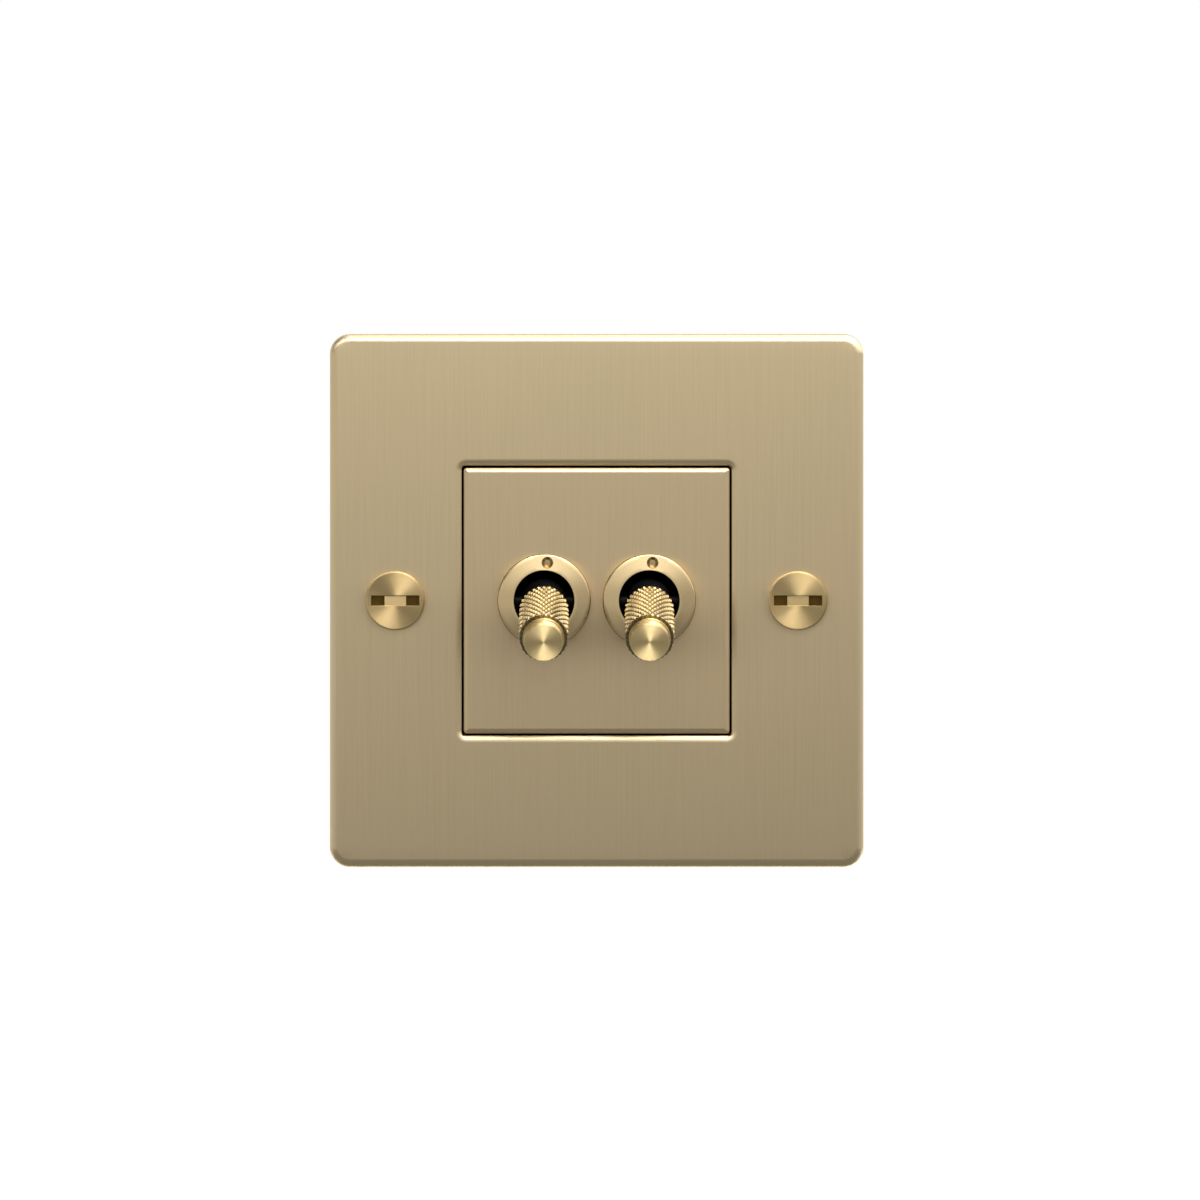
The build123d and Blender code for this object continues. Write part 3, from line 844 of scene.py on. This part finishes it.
# %% Collars
COLLAR_FRONT = -5.8
COLLAR_RADIUS = 6.9
COLLAR_BORE = 4.5
COLLAR_SEAT = 5.52
COLLAR_HEIGHT = 3.0
COLLAR_SLOPE = 0.18
COLLAR_BREAK = 0.1
LIP = 0.7
DIMPLE = Matrix.Rotation(radians(5), 4, "Y") @ Vector((0, 0, 5.7))
DIMPLE_RADIUS = 0.875
DIMPLE_DEPTH = 0.66
DIMPLE_TAPER = 0.5
DIMPLE_BREAK = 0.03


def slope_face(bm, x):
    """Lean the front face back, the further from the bore the more."""
    for vert in bm.verts:
        radius = Vector((vert.co.x - x * MM, vert.co.z)).length
        if vert.co.y < (COLLAR_FRONT + 0.2) * MM:
            vert.co.y += max(radius - COLLAR_BORE * MM, 0) * COLLAR_SLOPE


def collar(side, x):
    bm = bmesh.new()
    outer = circle(bm, COLLAR_RADIUS, x, COLLAR_FRONT)
    inner = circle(bm, COLLAR_BORE, x, COLLAR_FRONT)
    dimple = circle(bm, DIMPLE_RADIUS, x + DIMPLE.x, COLLAR_FRONT, DIMPLE.z, segments=32)
    ring = fill(bm, outer, inner, dimple)
    ring_edges = dict.fromkeys(edge for face in ring for edge in face.edges)
    spokes = [edge for edge in ring_edges if not edge.is_boundary]
    bmesh.ops.subdivide_edges(bm, edges=spokes, cuts=3, use_grid_fill=True)
    outer_foot = pull_loop(bm, outer, COLLAR_HEIGHT)
    lip = pull_loop(bm, inner, LIP)
    seat = scale_loop(bm, pull_loop(bm, lip, 0), COLLAR_SEAT / COLLAR_BORE, x)
    inner_foot = pull_loop(bm, seat, COLLAR_HEIGHT - LIP)
    fill(bm, outer_foot, inner_foot)
    known = set(bm.faces)
    bottom = pull_loop(bm, dimple, DIMPLE_DEPTH)
    fill(bm, scale_loop(bm, bottom, DIMPLE_TAPER, x + DIMPLE.x, DIMPLE.z))
    cone = [face for face in bm.faces if face not in known]
    for radius in (COLLAR_BORE, COLLAR_RADIUS):
        break_rims(bm, COLLAR_FRONT, x, radius - 0.1, radius + 0.1, COLLAR_BREAK, 4)
    break_rims(bm, COLLAR_FRONT, x, COLLAR_BORE + 0.15, COLLAR_RADIUS - 0.15, DIMPLE_BREAK, 1)
    slope_face(bm, x)
    mark_turning(bm, bm.faces, (x * MM, 0, 0), OUTWARD)
    drill = Vector(((x + DIMPLE.x) * MM, 0, DIMPLE.z * MM))
    drilled = [face for face in cone if face.is_valid]
    mark_turning(bm, drilled, drill, OUTWARD)
    rim = DIMPLE_RADIUS * MM
    # Painted shade in the dimple: darker towards its left and right sides, palest down the middle.
    mark_pocket(bm, drilled, lambda place: 0.1 + 0.6 * abs(place.x - drill.x) / rim)
    make_piece(
        bm, f"{side}_turned_collar", collar_brass, SWITCH, f"{side}_collar"
    )


for side, x in GANGS.items():
    collar(side, x)

# %% [markdown]
# ## Toggles
# Everything on a lever is drawn along Z from its pivot and then leaned into place with one matrix. The
# end cap is a turned pin with a thin flange, a fine groove in front of it and a flat end with a broken
# edge. Stacked cylinders could make it, but a half section spun in a full turn is one closed skin.

# %% End caps
PIVOT = -4.0
CAP_SECTION = (
    (0, 16.35), (2.0, 16.35), (2.0, 17.85), (3.06, 17.85), (3.1, 17.89), (3.1, 18.26),
    (3.06, 18.3), (2.78, 18.3), (2.78, 18.56), (2.91, 18.58), (2.93, 18.6), (2.93, 19.86),
    (2.92, 19.885), (2.815, 19.99), (2.79, 20.0), (0, 20.0),
)


def lever_place(x):
    return lying(x, PIVOT, 0) @ LEVER_TURN


def spin_profile(bm, profile, steps):
    verts = [bm.verts.new((radius * MM, 0, height * MM)) for radius, height in profile]
    edges = [bm.edges.new(pair) for pair in zip(verts, verts[1:])]
    bmesh.ops.spin(
        bm, geom=verts + edges, cent=(0, 0, 0), axis=(0, 0, 1), angle=2 * pi, steps=steps,
        use_merge=True,
    )
    bmesh.ops.remove_doubles(bm, verts=bm.verts, dist=MICRON)


lit_by_strips = bpy.data.collections.new("lit_by_strips")
for side, x in GANGS.items():
    place = lever_place(x)
    bm = bmesh.new()
    spin_profile(bm, CAP_SECTION, 64)
    bmesh.ops.transform(bm, matrix=place, verts=bm.verts)
    mark_turning(bm, bm.faces, place.translation, LEVER_AXIS)
    cap = make_piece(
        bm, f"{side}_turned_end", tip_brass, f"{side}_toggle", f"{side}_end_cap"
    )
    lit_by_strips.objects.link(cap)
for strip in tip_strips:
    strip.light_linking.receiver_collection = lit_by_strips

# %% [markdown]
# ## Diamond knurl
# A knurl is rolled into the grip by two wheels whose ridges cross, which leaves rows of small
# four-sided points with flat tops. A tube of plain squares becomes that in three steps: poke every
# square, dissolve the old edges so that diamonds remain, then inset each diamond and lift it. The
# free end is cut square and its edge broken. A bump texture would look right from far away, but the
# outline against the dark hole would stay smooth. The grooves and the end faces are painted dark as
# shade, and the tops keep a paler brass.


# %% Knurled brass finish
def knurled_brass(name):
    made, tree, shader = metal(name, 0.0)
    crest = node(tree, "ShaderNodeAttribute", attribute_name="crest").outputs["Fac"]
    shade_noise = object_noise(tree, (900, 900, 900), 3.0)
    # Painted shade: the grooves get a nearly black brown, speckled by noise, and the tops a paler
    # brass.
    groove = tint(tree, between(tree, shade_noise, 0, 1), (0.125, 0.09, 0.03), (0.165, 0.12, 0.04))
    crest_share = between(tree, crest, 0, 1, 0.1, 0.7)
    colour = tint(tree, crest_share, groove, (0.53, 0.485, 0.365))
    shine = between(tree, crest, 0.26, 0.14, 0, 1)
    skin = object_noise(tree, (9000, 9000, 9000), 2.0)
    finish(tree, shader, colour, shine, skin, MICRON)
    return made


grip_brass = knurled_brass("grip_brass")
print("knurled finish", grip_brass.name)

# %% Knurled tube
KNURL_AROUND = 28
KNURL_ALONG = 7
GRIP_FROM = 3.7
GRIP_TO = 17.85
KNURL_ROOT = 3.50
KNURL_HEIGHT = 0.20
KNURL_INSET = 0.22
KNURL_BREAK = 0.15


def diamond_tube(bm):
    """Tube of flat diamonds, one row longer than the grip."""
    length = (GRIP_TO - GRIP_FROM) * (KNURL_ALONG + 1) / KNURL_ALONG
    tube = bmesh.ops.create_cone(
        bm, cap_ends=False, segments=KNURL_AROUND, radius1=KNURL_ROOT * MM,
        radius2=KNURL_ROOT * MM, depth=length * MM, matrix=lying(0, 0, GRIP_FROM + length / 2),
    )["verts"]
    along = [edge for edge in loop_of(tube) if abs(edge.verts[0].co.z - edge.verts[1].co.z) > MM]
    bmesh.ops.subdivide_edges(bm, edges=along, cuts=KNURL_ALONG, use_grid_fill=True)
    squares = list(bm.edges)
    for vert in bmesh.ops.poke(bm, faces=bm.faces)["verts"]:
        flat = Vector((vert.co.x, vert.co.y, 0)).normalized() * KNURL_ROOT * MM
        vert.co = Vector((flat.x, flat.y, vert.co.z))
    inside = [edge for edge in squares if not edge.is_boundary]
    bmesh.ops.dissolve_edges(bm, edges=inside, use_verts=False)


def cut_across(bm, height, clear_outer=False):
    bmesh.ops.bisect_plane(
        bm, geom=[*bm.verts, *bm.edges, *bm.faces], dist=MICRON, plane_co=(0, 0, height * MM),
        plane_no=(0, 0, 1), clear_outer=clear_outer,
    )


def knurl(bm):
    diamond_tube(bm)
    whole = [face for face in bm.faces if len(face.verts) == 4]
    bmesh.ops.recalc_face_normals(bm, faces=bm.faces)
    bmesh.ops.inset_individual(
        bm, faces=whole, thickness=KNURL_INSET * MM, depth=KNURL_HEIGHT * MM, use_even_offset=True
    )
    cut_across(bm, GRIP_TO, clear_outer=True)
    cut_across(bm, GRIP_TO - KNURL_BREAK)
    for vert in bm.verts:
        if vert.co.z > (GRIP_TO - 0.01) * MM:
            reach = vert.co.xy.length
            vert.co.xy *= min(reach, (KNURL_ROOT + KNURL_HEIGHT - KNURL_BREAK) * MM) / reach
    return len(whole)


# %% Knurled grips
GRIP_MIDDLE = (GRIP_FROM + GRIP_TO) / 2
GRIP_BORE = 2.02
# The end faces and the bore get a low crest value, so they take mostly the grooves' painted shade.
BORE_CREST = 0.2
for side, x in GANGS.items():
    bm = bmesh.new()
    diamonds = knurl(bm)
    rims = [edge for edge in bm.edges if edge.is_boundary]
    nose = [edge for edge in rims if edge.verts[0].co.z > GRIP_MIDDLE * MM]
    heel = [edge for edge in rims if edge.verts[0].co.z < GRIP_MIDDLE * MM]
    print(side, "knurl", diamonds, "diamonds", len(nose), "and", len(heel), "rim edges")
    crest = bm.verts.layers.float.new("crest")
    for vert in bm.verts:
        lift = vert.co.xy.length / MM - KNURL_ROOT
        vert[crest] = min(max(lift / KNURL_HEIGHT, 0), 1)
    bores = []
    for rim, height in ((nose, GRIP_TO), (heel, GRIP_FROM)):
        bore = bmesh.ops.create_circle(
            bm, cap_ends=False, radius=GRIP_BORE * MM, segments=KNURL_AROUND,
            matrix=lying(0, 0, height),
        )["verts"]
        for vert in bore:
            vert[crest] = BORE_CREST
        bores.append(loop_of(bore))
        fill(bm, rim, bores[-1], normal=(0, 0, 1))
    bmesh.ops.bridge_loops(bm, edges=bores[0] + bores[1])
    bmesh.ops.transform(bm, matrix=lever_place(x), verts=bm.verts)
    make_piece(
        bm, f"{side}_knurled_grip", grip_brass, f"{side}_toggle",
        f"{side}_grip", crease=11,
    )


# %% [markdown]
# ## Pieces behind the plate
# The housing and cover are a black moulding with the fine matt skin of a spark-eroded mould. The
# mounting frame has a thin black coating, made near-black and almost without shine so that it also
# stands for the shade in the gap round the insert. The case and terminal screws are zinc-plated steel
# with faint crystals, and the terminals are drawn brass bar. Levers and bushes sit deep in the collars
# and get painted shade: a blacker, duller copy of the moulding. These shapes are right as the CAD has
# them, so only their finish is set.

# %% Finishes behind the plate
def black_moulding(name, dark, light, gloss):
    made, tree, shader = surface(name)
    skin = object_noise(tree, (4200, 4200, 4200), 3.0)
    flow = object_noise(tree, (120, 120, 40), 3.0)
    low = (dark, dark, dark * 1.05)
    high = (light, light, light * 1.05)
    colour = tint(tree, between(tree, flow, 0, 1), low, high)
    shader.inputs["Specular IOR Level"].default_value = gloss
    finish(tree, shader, colour, between(tree, flow, 0.42, 0.56), skin, 20 * MICRON)
    return made


def plated_steel(name, dark, light):
    made, tree, shader = metal(name, 0.0)
    crystals = node(tree, "ShaderNodeTexVoronoi")
    crystals.inputs["Scale"].default_value = 900
    place = node(tree, "ShaderNodeTexCoord")
    wire(tree, place.outputs["Object"], crystals.inputs["Vector"])
    tone = node(tree, "ShaderNodeSeparateColor")
    wire(tree, crystals.outputs["Color"], tone.inputs[0])
    colour = tint(tree, tone.outputs[0], dark, light)
    roughness = between(tree, tone.outputs[1], 0.30, 0.42, 0, 1)
    skin = object_noise(tree, (3000, 3000, 3000), 2.0)
    finish(tree, shader, colour, roughness, skin, 2 * MICRON)
    return made


def drawn_metal(name, dark, light):
    made, tree, shader = metal(name, 0.0)
    lines = object_noise(tree, (6000, 90, 6000), 3.0)
    colour = tint(tree, between(tree, lines, 0, 1), dark, light)
    finish(tree, shader, colour, between(tree, lines, 0.24, 0.36), lines, 3 * MICRON)
    return made


# %% Dress the pieces behind the plate
REAR_FINISHES = {
    "black_moulding": black_moulding("black_moulding_skin", 0.014, 0.026, 0.5),
    # Partly painted shade: the black coating is made near-black and almost without shine, so the gap
    # round the insert reads as shade.
    "black_steel": black_moulding("black_coating_gap_shade", 0.002, 0.004, 0.05),
    "zinc_steel": plated_steel("zinc_plate", (0.34, 0.35, 0.365), (0.48, 0.49, 0.505)),
    "terminal_brass": drawn_metal("drawn_brass", (0.68, 0.52, 0.24), (0.78, 0.62, 0.31)),
    "contact_silver": drawn_metal("contact_silver", (0.78, 0.77, 0.74), (0.85, 0.84, 0.81)),
    "spring_steel": drawn_metal("spring_wire", (0.48, 0.49, 0.51), (0.60, 0.61, 0.63)),
}
# Painted shade: levers and bushes get a blacker, duller copy of the moulding, for the shade deep in the
# collars.
shaded_black = black_moulding("painted_shade_black", 0.002, 0.004, 0.03)
SHADED_PARTS = ("left_lever", "right_lever", "left_bush", "right_bush")
dressed = 0
for part in frame["record"]["subparts"]:
    coat = REAR_FINISHES.get(part["material_slot"])
    if part["node"] in SHADED_PARTS:
        coat = shaded_black
    if coat:
        mesh = nodes[part["node"]].data
        mesh.materials.clear()
        mesh.materials.append(coat)
        dressed += 1
print("finished", dressed, "CAD pieces behind the plate")
